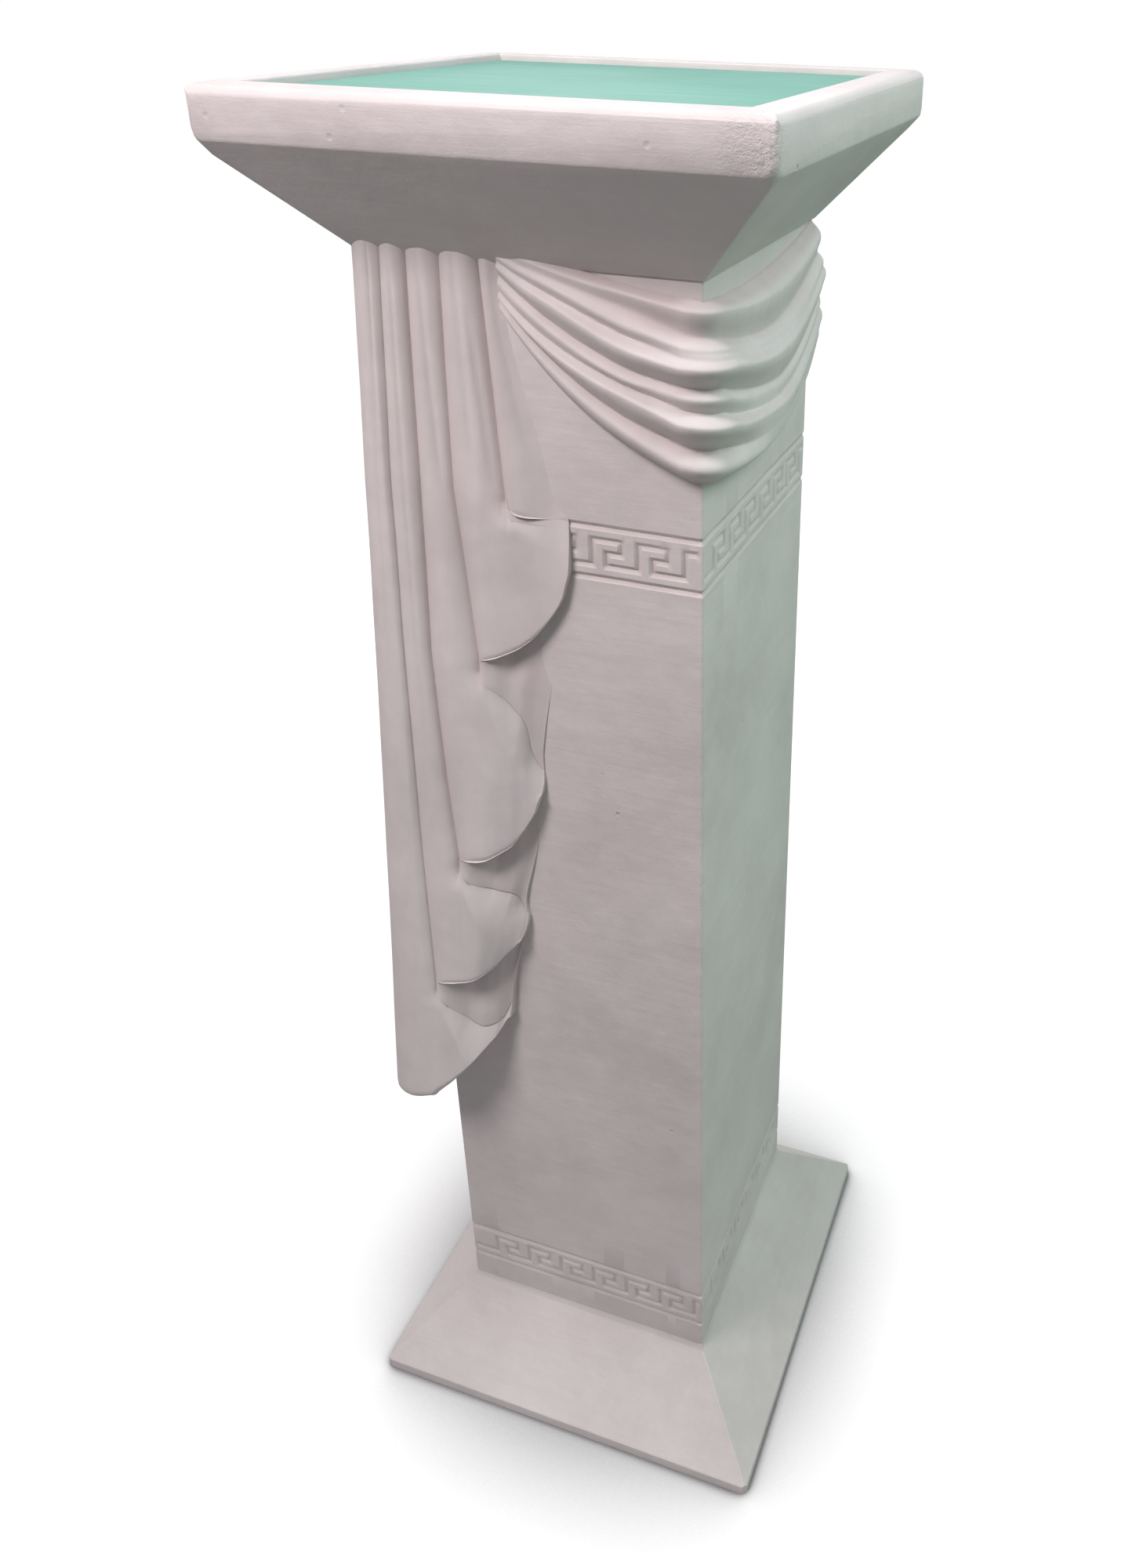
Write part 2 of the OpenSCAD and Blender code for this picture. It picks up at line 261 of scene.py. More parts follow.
def makeGloss(name):
    # sea-green panel with a satin skin, faint wipe marks and a few fine scratches
    material, nodes, links = newMaterial(name)
    coords = nodes.new("ShaderNodeTexCoord").outputs["Object"]
    cloudy = noiseNode(nodes, links, coords, gloss["cloudScale"], 3)
    wipe = noiseNode(nodes, links, coords, 1, 4, gloss["wipeStretch"], 0.6)
    skin = noiseNode(nodes, links, coords, gloss["skinScale"], 2)
    scratch = noiseNode(nodes, links, coords, 1, 2, gloss["scratchStretch"])
    colour = mixColour(nodes, links, rangeNode(nodes, links, cloudy, 0.35, 0.65), gloss["colour"], gloss["deep"])
    colour = mixColour(nodes, links, rangeNode(nodes, links, wipe, 0.5, 0.8, 0, 0.25), colour, gloss["wiped"])
    low, high = gloss["roughness"] - 0.07, gloss["roughness"] + 0.14
    normal = bumpNode(nodes, links, skin, gloss["skin"])
    normal = bumpNode(nodes, links, rangeNode(nodes, links, scratch, 0.70, 0.74), gloss["scratch"], normal)
    finishShader(nodes, links, colour, rangeNode(nodes, links, wipe, 0.3, 0.75, low, high), normal,
                 gloss["specular"])
    return material


# brush marks lie level on the flat faces and upright on the cloth
flatPlaster = makePlaster("brushed_plaster", (16, 16, 210), 0.5)
clothPlaster = makePlaster("carved_plaster", (90, 90, 14), 0.56)
seaGreen = makeGloss("satin_panel")
print("finishes ready")


def finishPiece(name, bm, material, sharpAngle):
    bmesh.ops.scale(bm, vec=(mm, mm, mm), verts=bm.verts)
    bmesh.ops.recalc_face_normals(bm, faces=bm.faces)
    mesh = bpy.data.meshes.new(name)
    bm.to_mesh(mesh)
    bm.free()
    mesh.materials.append(material)
    for face in mesh.polygons:
        face.use_smooth = True
    mesh.set_sharp_from_angle(angle=math.radians(sharpAngle))
    piece = bpy.data.objects.new(name, mesh)
    bpy.context.collection.objects.link(piece)
    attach(piece, "root")
    print(name, len(mesh.vertices), "vertices", len(mesh.polygons), "faces")
    return piece


def blockOf(width, low, high):
    bm = bmesh.new()
    bmesh.ops.create_cube(bm, size=1)
    bmesh.ops.scale(bm, vec=(width, width, high - low), verts=bm.verts)
    bmesh.ops.translate(bm, vec=(0, 0, (low + high) / 2), verts=bm.verts)
    return bm


def topFace(bm):
    bm.faces.ensure_lookup_table()
    flat = [f for f in bm.faces if f.normal.z > 0.99]
    return max(flat, key=lambda f: f.calc_center_median().z)


def raiseTo(bm, face, width, z):
    # extrudes a square face to a new width and height, and gives the new face
    grown = bmesh.ops.extrude_face_region(bm, geom=[face])
    verts = [g for g in grown["geom"] if isinstance(g, bmesh.types.BMVert)]
    top = [g for g in grown["geom"] if isinstance(g, bmesh.types.BMFace)][0]
    for v in verts:
        v.co.x = math.copysign(width / 2, v.co.x)
        v.co.y = math.copysign(width / 2, v.co.y)
        v.co.z = z
    if face.is_valid:
        bmesh.ops.delete(bm, geom=[face], context="FACES_ONLY")
    return top


def bevelWhere(bm, test, offset, segments):
    bm.normal_update()
    edges = [e for e in bm.edges if test(e)]
    bmesh.ops.bevel(bm, geom=edges, offset=offset, offset_type="OFFSET", segments=segments,
                    profile=0.5, affect="EDGES", material=-1, clamp_overlap=True)


def planeCut(bm, point, normal):
    geom = bm.verts[:] + bm.edges[:] + bm.faces[:]
    cut = bmesh.ops.bisect_plane(bm, geom=geom, dist=0.0001, plane_co=point, plane_no=normal,
                                 clear_outer=True)
    edges = [g for g in cut["geom_cut"] if isinstance(g, bmesh.types.BMEdge) and g.is_boundary]
    if edges:
        bmesh.ops.holes_fill(bm, edges=edges)


def roundCorners(bm, width, radius, steps):
    for corner in range(4):
        for i in range(steps):
            a = math.radians(corner * 90 + 45 + (i + 0.5 - steps / 2) * 90 / steps)
            diagonal = Vector((math.copysign(1, math.cos(a)), math.copysign(1, math.sin(a)), 0))
            middle = diagonal * (width / 2 - radius)
            normal = Vector((math.cos(a), math.sin(a), 0))
            planeCut(bm, middle + normal * radius, normal)


def corners(e):
    return [v.co for v in e.verts]


def isMitre(e, low, high):
    # an edge that climbs along a corner's diagonal between two heights
    a, b = corners(e)
    inside = low - 1 < min(a.z, b.z) and max(a.z, b.z) < high + 1
    return inside and abs(a.z - b.z) > 2 and all(abs(abs(c.x) - abs(c.y)) < 0.1 for c in (a, b))


def isLevel(e, z, near):
    # a long edge that lies level at a height
    return all(abs(c.z - z) < near for c in corners(e)) and e.calc_length() > 100


base = {"edge": 8.0, "edgeRound": 0.9, "cornerRadius": 5.0, "mitre": 0.7, "bead": 2.0,
        # how far the bead stands past the shaft and above the slope, step by step
        "beadSteps": [(0.76, 0.2), (0.12, 2.2), (-5.0, 2.3)]}


def makeBase():
    width, top = column["baseWidth"], column["baseHeight"]
    bm = blockOf(width, 0, base["edge"])
    slope = (top - base["edge"]) / (width / 2 - halfShaft)
    bead = base["bead"]
    face = raiseTo(bm, topFace(bm), 2 * (halfShaft + bead), top - bead * slope)
    for out, rise in base["beadSteps"]:
        face = raiseTo(bm, face, 2 * (halfShaft + out), top + rise)
    bevelWhere(bm, lambda e: isMitre(e, base["edge"], top - 2), base["mitre"], 2)
    bevelWhere(bm, lambda e: isLevel(e, base["edge"], 0.3), base["edgeRound"], 2)
    roundCorners(bm, width, base["cornerRadius"], 5)
    return finishPiece("slopingBase", bm, flatPlaster, 30)


slopingBase = makeBase()

flare = {"ledge": 1.5, "rim": 20.0, "floorBelowRim": 10.0, "topRound": 8.0, "cornerRadius": 6.0,
         "lowerRound": 2.2, "innerRound": 1.2, "mitre": 1.0,
         # the slab's lower corners: radius, height of its centre and the angles of the cuts
         "lowerCorner": 7.5, "centreShare": 0.49, "cutTilts": (12, 26, 40), "cutTurns": (22, 45, 68)}


def makeTop():
    width, height = column["slabWidth"], column["height"]
    low = 2 * (halfShaft + flare["ledge"])
    bm = blockOf(low, neck, neck + 1)
    for v in topFace(bm).verts:
        v.co = Vector((math.copysign(width / 2, v.co.x), math.copysign(width / 2, v.co.y), slabBottom))
    raiseTo(bm, topFace(bm), width, height)
    bevelWhere(bm, lambda e: isMitre(e, neck, slabBottom), flare["mitre"], 2)
    bevelWhere(bm, lambda e: all(c.z > height - 0.1 for c in corners(e)), flare["topRound"], 7)
    bevelWhere(bm, lambda e: isLevel(e, slabBottom, 0.8), flare["lowerRound"], 3)
    roundCorners(bm, width, flare["cornerRadius"], 6)
    # the slab's lower corners are rounded off more than its edges
    r = flare["lowerCorner"]
    for corner in range(4):
        for tilt in flare["cutTilts"]:
            for turn in flare["cutTurns"]:
                a, t = math.radians(corner * 90 + turn), math.radians(tilt)
                normal = Vector((math.cos(a) * math.cos(t), math.sin(a) * math.cos(t), -math.sin(t)))
                middle = Vector((math.copysign(width / 2 - r, math.cos(a)),
                                 math.copysign(width / 2 - r, math.sin(a)),
                                 slabBottom + flare["centreShare"] * r))
                planeCut(bm, middle + normal * r, normal)
    # the pocket for the panel
    face = topFace(bm)
    outer = max(abs(v.co.x) for v in face.verts)
    bmesh.ops.inset_region(bm, faces=[face], thickness=outer - (width / 2 - flare["rim"]), use_even_offset=True)
    half = max(abs(v.co.x) for v in face.verts)
    grown = bmesh.ops.extrude_face_region(bm, geom=[face])
    for v in [g for g in grown["geom"] if isinstance(g, bmesh.types.BMVert)]:
        v.co.z = height - flare["floorBelowRim"]
    if face.is_valid:
        bmesh.ops.delete(bm, geom=[face], context="FACES_ONLY")

    def isPocketEdge(e):
        return all(c.z > height - 0.1 and max(abs(c.x), abs(c.y)) < half + 0.1 for c in corners(e))

    bevelWhere(bm, isPocketEdge, flare["innerRound"], 3)
    return finishPiece("flaredTop", bm, flatPlaster, 30)


flaredTop = makeTop()

panel = {"width": 270.0, "thickness": 6.0, "drop": 4.0, "edge": 0.8}


def makePanel():
    top = column["height"] - panel["drop"]
    bm = blockOf(panel["width"], top - panel["thickness"], top)
    bevelWhere(bm, lambda e: True, panel["edge"], 3)
    long = [e for e in bm.edges if e.calc_length() > 200]
    bmesh.ops.subdivide_edges(bm, edges=long, cuts=7, use_grid_fill=True)
    return finishPiece("insetPanel", bm, seaGreen, 50)


insetPanel = makePanel()

shaft = {"cornerRadius": 1.6, "keys": 7, "bandHeight": 32.0, "cutWidth": 4.8, "cutDepth": 1.5, "margin": 4.0,
         # each band: its middle height, where its first key starts, and how deep it is left by the paint
         "bands": [{"middle": 752.0, "lead": 0.62, "depth": 1.0},
                   {"middle": 112.5, "lead": 0.79, "depth": 0.85}],
         # how far the shaft runs on inside the base and the flare
         "foot": 4.0, "head": 6.0,
         # rows and columns of the mesh where nothing is cut
         "plainRows": (80, 160, 240, 330, 420, 510, 600, 690, 800, 850, 890), "plainColumns": (-60, -20, 20, 60),
         "worn": 0.85, "wear": 0.5, "sway": 0.25}
# one key: share of the pitch, then -1 to 1 from the lower to the upper line
keyPath = [(0, -1), (0, 1), (0.64, 1), (0.64, 0), (0.31, 0), (0.31, -1), (1, -1)]


def keyStrokes(band):
    # strokes across one face: pairs of points, x along the face and z up it
    pitch, rise = column["shaftWidth"] / shaft["keys"], shaft["bandHeight"] / 4
    end = halfShaft - shaft["margin"]
    first = band["lead"] * pitch - halfShaft
    z = band["middle"]
    # the part of a key that leads into the first whole one
    back = first - (1 - keyPath[4][0]) * pitch
    strokes = [((max(back, -end), z - rise), (first, z - rise))]
    if back > -end:
        strokes.append(((back, z - rise), (back, z)))
    for k in range(shaft["keys"]):
        for a, b in zip(keyPath[:-1], keyPath[1:]):
            p = (first + (k + a[0]) * pitch, z + a[1] * rise)
            q = (first + (k + b[0]) * pitch, z + b[1] * rise)
            if p[0] > end:
                continue
            strokes.append((p, (min(q[0], end), q[1])))
    return strokes


def strokeDistance(x, z, stroke):
    (x0, z0), (x1, z1) = stroke
    dx = max(min(x0, x1) - x, 0, x - max(x0, x1))
    dz = max(min(z0, z1) - z, 0, z - max(z0, z1))
    return max(dx, dz)


def spaced(values):
    # sorted, without those that lie too near the one before
    values = sorted(values)
    return [x for i, x in enumerate(values) if i == 0 or x - values[i - 1] > 0.15]


def makeShaft():
    radius, w = shaft["cornerRadius"], shaft["cutWidth"] / 2
    c, arc = halfShaft - radius, radius * pi / 4
    side = 2 * (c + arc)
    strokes = [(band, keyStrokes(band)) for band in shaft["bands"]]
    across = (-w, -w / 2, 0, w / 2, w)
    xs = {-c, c, *shaft["plainColumns"]}
    zs = {column["baseHeight"] - shaft["foot"], *shaft["plainRows"], neck + shaft["head"]}
    for band, marks in strokes:
        xs |= {round(x + step, 2) for pair in marks for x, z in pair for step in across}
        zs |= {round(z + step, 2) for pair in marks for x, z in pair for step in across}
        for edge in (-1, 1):
            zs |= {round(band["middle"] + edge * shaft["bandHeight"] / 2 + step, 2) for step in across}
    xs = spaced(x for x in xs if abs(x) <= c)
    zs = spaced(zs)
    columns = []
    for k in range(4):
        columns += [k * side - side + arc * f for f in (-1, -0.5, 0, 0.5)]
        columns += [k * side - side + arc + (x + c) for x in xs[:-1]]
    columns.append(3 * side - arc)
    columns[-1] = columns[0] + 4 * side

    cache = {}

    def cutAt(x, z):
        key = (round(x, 2), round(z, 2))
        if key not in cache:
            deep = 0.0
            for band, marks in strokes:
                if abs(z - band["middle"]) > shaft["bandHeight"]:
                    continue
                edges = [abs(z - band["middle"] - e * shaft["bandHeight"] / 2) for e in (-1, 1)]
                gap = min(min(edges), min(strokeDistance(x, z, m) for m in marks))
                deep = max(deep, band["depth"] * max(0.0, 1 - gap / w))
            cache[key] = deep
        return cache[key]

    bm = bmesh.new()
    nc, nr = len(columns), len(zs)
    bmesh.ops.create_grid(bm, x_segments=nc - 1, y_segments=nr - 1, size=0.5)
    recess = bm.verts.layers.float.new("recess")
    for v in bm.verts:
        col, row = round((v.co.x + 0.5) * (nc - 1)), round((v.co.y + 0.5) * (nr - 1))
        s, z = columns[col], zs[row]
        k = math.floor((s + side + arc * 1.01) / side)
        x = min(max(s - (k - 1) * side - arc - c, -halfShaft), halfShaft)
        deep = cutAt(x, z)
        worn = shaft["worn"] + shaft["wear"] * noise.noise(Vector((s * 0.03, z * 0.05, 3.1)))
        # the key grooves get the recess value, which the plaster darkens: dust and painted shade
        v[recess] = min(1.0, deep)
        sway = shaft["sway"] * noise.noise(Vector((s * 0.05, z * 0.06, 7.7))) if deep > 0 else 0.0
        v.co = lapPoint(s, -shaft["cutDepth"] * deep * min(1.1, worn), z + sway, radius)
    bmesh.ops.remove_doubles(bm, verts=bm.verts, dist=0.01)
    bmesh.ops.holes_fill(bm, edges=[e for e in bm.edges if e.is_boundary], sides=0)
    return finishPiece("keyedShaft", bm, flatPlaster, 22)


keyedShaft = makeShaft()


def spot(v):
    return tuple(round(x, 4) for x in v.co)


def clothSheet(name, columns, rows, place, root, core):
    # a grid laid by place(column, row), its rim run back into the shaft and closed there
    bm = bmesh.new()
    nc, nr = len(columns), len(rows)
    bmesh.ops.create_grid(bm, x_segments=nc - 1, y_segments=nr - 1, size=0.5)
    recess = bm.verts.layers.float.new("recess")
    roots = {}
    for v in bm.verts:
        col, row = round((v.co.x + 0.5) * (nc - 1)), round((v.co.y + 0.5) * (nr - 1))
        v.co, v[recess] = place(columns[col], rows[row])
        roots[v.index] = (columns[col], rows[row])
    bm.verts.index_update()
    rim = [e for e in bm.edges if e.is_boundary]
    sources = {}
    for e in rim:
        for v in e.verts:
            sources[spot(v)] = roots[v.index]
    grown = bmesh.ops.extrude_edge_only(bm, edges=rim)
    verts = [g for g in grown["geom"] if isinstance(g, bmesh.types.BMVert)]
    edges = [g for g in grown["geom"] if isinstance(g, bmesh.types.BMEdge)]
    for v in verts:
        v.co = root(*sources[spot(v)])
        # the walls back to the shaft take the full recess value, darkened as dust and painted shade
        v[recess] = 1.0
    inner = [e for e in edges if e.is_boundary]
    grown = bmesh.ops.extrude_edge_only(bm, edges=inner)
    verts = [g for g in grown["geom"] if isinstance(g, bmesh.types.BMVert)]
    bmesh.ops.pointmerge(bm, verts=verts, merge_co=core)
    return finishPiece(name, bm, clothPlaster, 60)


cascade = {
    "length": 621.0, "topThickness": 8.0, "tailThickness": 46.0, "pleatDepth": 4.6,
    "lapRadius": 8.0, "tuck": 16.0, "sunk": 6.0, "stepFall": 2.5, "lip": 1.4, "tailLip": 7.0, "undercut": 5.0,
    # relief on the hidden side of the corner, and the slow waviness of the whole
    "hiddenRelief": 0.6, "wave": 0.5,
    # share of the length, then the distance of folds 0 to 4 from the corner
    "fan": [(0.00, 0, 13, 28, 48, 71), (0.21, 0, 9, 27, 48, 80), (0.385, 0, 9, 26, 58, 84),
            (0.53, 0, 10, 31, 57, 76), (0.625, 0, 11, 36, 56, 71), (0.79, 0, 14, 30, 42, 53),
            (1.00, 0, 11, 22, 32, 41)],
    # the same for the outer edge
    "edge": [(0, 86), (0.21, 115.5), (0.27, 118), (0.32, 114), (0.385, 104), (0.45, 96), (0.50, 91.5),
             (0.53, 92), (0.57, 87.5), (0.625, 82), (0.69, 72.5), (0.716, 74), (0.76, 66), (0.80, 60.5),
             (0.85, 56.5), (1.00, 48)],
    # each hem starts on a fold at a share of the length: its line, the line where the cloth behind ends,
    # the depth of the step and the length over which the next layer swells out
    "hems": [
        {"fold": 4, "at": 0.205, "step": 0.55, "swell": 14, "sink": 0,
         "line": [(0, 0), (0.04, 0.013), (0.13, 0.0215), (0.25, 0.0240), (0.45, 0.0255), (0.8, 0.0265),
                  (1, 0.0265)],
         "under": [(0, 0.008), (0.04, 0.020), (0.13, 0.029), (0.45, 0.033), (1, 0.034)]},
        {"fold": 3, "at": 0.385, "step": 0.85, "swell": 42, "sink": 1.0,
         "line": [(0, 0), (0.2, -0.004), (0.39, -0.011), (0.54, -0.018), (0.67, -0.0265), (0.77, -0.036),
                  (0.85, -0.047), (0.93, -0.0625), (0.98, -0.079), (1, -0.100)],
         "under": [(0, 0.010), (0.04, 0.020), (0.12, 0.030), (0.2, 0.037), (0.31, 0.046), (0.43, 0.057),
                   (0.57, 0.070), (0.66, 0.084), (0.74, 0.103), (0.86, 0.118), (1, 0.128)]},
        {"fold": 2, "at": 0.625, "step": 0.80, "swell": 40, "sink": 0.8,
         "line": [(0, 0), (0.17, -0.001), (0.33, -0.0045), (0.48, -0.011), (0.64, -0.0195), (0.74, -0.028),
                  (0.83, -0.038), (0.9, -0.048), (0.955, -0.0595), (1, -0.083)],
         "under": [(0, 0.010), (0.04, 0.018), (0.10, 0.027), (0.17, 0.034), (0.30, 0.042), (0.50, 0.047),
                   (0.68, 0.051), (0.78, 0.055), (0.87, 0.062), (0.94, 0.070), (1, 0.080)]},
        {"fold": 1, "at": 0.79, "step": 0.62, "swell": 42, "sink": 0.35,
         "line": [(0, 0.003), (0.17, 0.001), (0.3, -0.0015), (0.43, -0.004), (0.55, -0.0085), (0.65, -0.014),
                  (0.76, -0.022), (0.85, -0.031), (0.94, -0.041), (1, -0.052)],
         "under": [(0, 0.012), (0.03, 0.020), (0.07, 0.029), (0.17, 0.045), (0.28, 0.059), (0.40, 0.069),
                   (0.52, 0.075), (0.63, 0.076), (0.75, 0.073), (0.87, 0.066), (1, 0.050)]}],
    # how soon a step opens and deepens past its fold, and where along it the first hem runs out
    "opens": 5, "deepens": 2.6, "firstHemEnds": (0.3, 0.8),
    # a step's depth under the hem, where the cloth behind ends, and where the next layer starts
    "gapUnder": 0.58, "gapBehind": 0.68,
    # the outer edge is one with the shaft down to the first share of the length, and free past the second
    "merged": (0.2, 0.32),
    # thickness lost from fold to fold, then more between two folds towards the outer edge
    "narrowing": 0.075, "edgeThin": 0.5, "edgeFolds": (2.8, 5.0),
    # length of the tail round the corner, from the hidden side to the outer edge
    "tail": [(-5, 0.85), (-3, 0.9), (-2, 0.935), (-1, 0.970), (-0.5, 0.990), (-0.2, 0.996), (0, 0.994),
             (0.2, 0.986), (0.35, 0.977), (0.5, 0.9675), (0.62, 0.963), (0.75, 0.960), (1, 0.955),
             (1.5, 0.945), (2, 0.932), (3, 0.908), (4, 0.884), (5, 0.862)],
    # rise of the tail's underside as it runs back to the shaft
    "tailSlope": 12,
    # how deep the creases are, fold by fold, how wide and how sharp
    "creases": (0, 0.62, 1.0, 1.0, 1.2, 0), "creaseWidth": 0.42, "creaseShape": 0.62,
    # shallow folds between the main ones: place and share at both ends, depth, width
    "minor": [(0.55, 0.0, 0.45, 0.62, 1.2, 0.10), (1.5, 0.02, 1.62, 0.5, 1.0, 0.10),
              (2.45, 0.0, 2.7, 0.20, 1.6, 0.13), (3.45, 0.0, 3.5, 0.19, 1.3, 0.10),
              (3.72, 0.06, 3.86, 0.20, 1.4, 0.06), (4.5, 0.03, 4.6, 0.19, 0.9, 0.16)],
    # mesh rows: along a layer, along the last one, and down the bare step
    "layerRows": 34, "endRows": 40, "stepRows": 14, "lipFrom": 0.96, "tailLipFrom": 0.90,
}


def tableAt(table, x):
    return curveAt([p[0] for p in table], [p[1] for p in table], x)


def foldWidth(k, t):
    if k == 5:
        return tableAt(cascade["edge"], t)
    fan = cascade["fan"]
    return lineAt([r[0] for r in fan], [r[k + 1] for r in fan], t)


def foldPlace(u, t):
    k = min(int(u), 4)
    return foldWidth(k, t) * (1 - (u - k)) + foldWidth(k + 1, t) * (u - k)


def pastFold(u, hem):
    return max(0.0, (u - hem["fold"]) / (5 - hem["fold"]))


def makeCascade():
    length = cascade["length"]
    fall = cascade["stepFall"] / length
    hems = cascade["hems"]
    # rows come in fours for each hem: layer, drop to the step, bare step, rise to the next layer
    last = 4 * len(hems) + 1
    side = 2 * (halfShaft - cascade["lapRadius"] + cascade["lapRadius"] * pi / 4)

    def firstHemLeft(x):
        start, end = cascade["firstHemEnds"]
        return 1 - smooth((x - start) / (end - start))

    def station(v, n):
        # share of the length at which the n-th group of rows begins
        u = abs(v)
        if n == 0:
            return -cascade["tuck"] / length
        if n == last:
            return tableAt(cascade["tail"], v)
        h, k = hems[(n - 1) // 4], (n - 1) % 4
        x = pastFold(u, h)
        t = h["at"] + k % 2 * fall + tableAt(h["line"] if k < 2 else h["under"], x)
        # the step's foot is tucked back under the lip
        opened = cascade["undercut"] / length * smooth(x * cascade["opens"])
        if k == 1:
            t -= opened
        if k == 3:
            t -= 0.6 * opened
        return t

    def thickness(t):
        thin, thick = cascade["topThickness"], cascade["tailThickness"]
        return thin + (thick - thin) * (0.85 * t + 0.15 * t * t)

    def pleat(u, t):
        # 1 in a crease and 0 on a ridge
        k = round(u)
        d = abs(u - k)
        if k < 1 or k > 4:
            return 0.0
        alive = 1 - smooth((t - hems[4 - k]["at"] - 0.01) / 0.03)
        dip = 1 - min(1.0, d / cascade["creaseWidth"]) ** cascade["creaseShape"]
        return cascade["creases"][k] * alive * dip * (1 - d)

    def minorFold(u, t):
        total = 0.0
        for u0, t0, u1, t1, depth, width in cascade["minor"]:
            if t < t0 - 0.03 or t > t1 + 0.03:
                continue
            f = (t - t0) / (t1 - t0)
            fade = smooth((t - t0 + 0.03) / 0.05) * smooth((t1 + 0.03 - t) / 0.06)
            total += depth * fade * math.exp(-abs((u - (u0 + (u1 - u0) * f)) / width) ** 1.3)
        return total

    rows = []
    for n in range(last):
        if n % 4 == 0:
            # close rows at the end of a layer make its lip
            count = cascade["endRows"] if n in (0, last - 1) else cascade["layerRows"]
            reach = 0.90 if n == last - 1 else 0.97
            rows += [(n, reach * i / count) for i in range(count)]
            rows += [(n, reach + (1 - reach) * i / 10) for i in (0, 2, 4, 5.5, 7, 8, 9, 9.6)]
        elif n % 4 == 2:
            rows += [(n, i / cascade["stepRows"]) for i in range(cascade["stepRows"])]
        else:
            rows += [(n, 0), (n, 0.3), (n, 0.65)]
    rows.append((last - 1, 1.0))
    # columns are closer near the corner
    columns = [i / 16 for i in range(-80, -16)] + [i / 24 for i in range(-24, 25)] + [i / 16 for i in range(17, 81)]

    def gapAt(n, f, since, x):
        # deep under the hem, shallower where the cloth behind ends, then fading into the next layer
        if n == 0:
            return 0.0
        if n % 4 == 1:
            return f
        if n % 4 == 2:
            return 1 - (1 - cascade["gapUnder"]) * smooth(f)
        if n % 4 == 3:
            return cascade["gapUnder"] + (cascade["gapBehind"] - cascade["gapUnder"]) * smooth(f)
        swell = hems[(n - 1) // 4]["swell"] * (0.25 + 0.75 * smooth(x / 0.6))
        return cascade["gapBehind"] * (1 - min(1.0, since / swell)) ** 2

    def placeRound(v, t, out, lift=0.0):
        s = -side + math.copysign(foldPlace(abs(v), t), v)
        return lapPoint(s, out, neck - t * length + lift, cascade["lapRadius"])

    def place(v, row):
        n, f = row
        u = abs(v)
        plain = cascade["hiddenRelief"] if v < 0 else 1.0
        hem = hems[max(0, n - 1) // 4]
        t = station(v, n) * (1 - f) + station(v, n + 1) * f
        x = pastFold(u, hem)
        bare = gapAt(n, f, (t - station(v, n)) * length, x)
        gap = bare * smooth(cascade["deepens"] * x)
        if hem is hems[0]:
            gap *= firstHemLeft(x)
        start, end = cascade["merged"]
        free = smooth((t - start) / (end - start))
        merge = smooth(u - 4) * (1 - free)
        sunkEdge = bare * hem["sink"] * smooth((u - 3.9) / 1.1)
        inner, outer = cascade["edgeFolds"]
        thin = 1 - cascade["edgeThin"] * smooth((u - inner) / (outer - inner)) * free
        body = thickness(t) * (1 - cascade["narrowing"] * u) * thin
        body *= (1 - 1.12 * merge) * (1 - gap * plain * hem["step"])
        body = body * (1 - sunkEdge) - 0.8 * sunkEdge
        crease = pleat(u, t) * plain
        out = body - cascade["pleatDepth"] * crease - plain * minorFold(u, t) * (1 - 0.6 * merge)
        # lips of the hems and of the tail
        if n == last - 1:
            near = smooth((f - cascade["tailLipFrom"]) / (1 - cascade["tailLipFrom"]))
            out -= cascade["tailLip"] * (1 - math.sqrt(max(0.0, 1 - near * near)))
        elif n % 4 == 0 and f > cascade["lipFrom"]:
            past = pastFold(u, hems[n // 4])
            edge = smooth(cascade["opens"] * past) * (1 - merge)
            if n == 0:
                edge *= firstHemLeft(past)
            out -= cascade["lip"] * edge * ((f - cascade["lipFrom"]) / (1 - cascade["lipFrom"])) ** 2.5
        out += cascade["wave"] * noise.noise(Vector((u * 2.2 + (9 if v < 0 else 0), t * 9, 1.5)))
        # creases and the gaps under the hems get the recess value, which the plaster darkens: dust and painted
        # shade
        deep = 0.75 * crease + (0.6 * gap if n % 4 in (1, 2) else 1.1 * gap * gap)
        return placeRound(v, t, max(out, -1.5)), min(1.0, deep)

    def root(v, row):
        n, f = row
        t = station(v, n) * (1 - f) + station(v, n + 1) * f
        return placeRound(v, t, -cascade["sunk"], cascade["tailSlope"] if row == rows[-1] else 0)

    return clothSheet("cornerCascade", columns, rows, place, root, Vector((0, 0, neck - length / 2)))


cornerCascade = makeCascade()

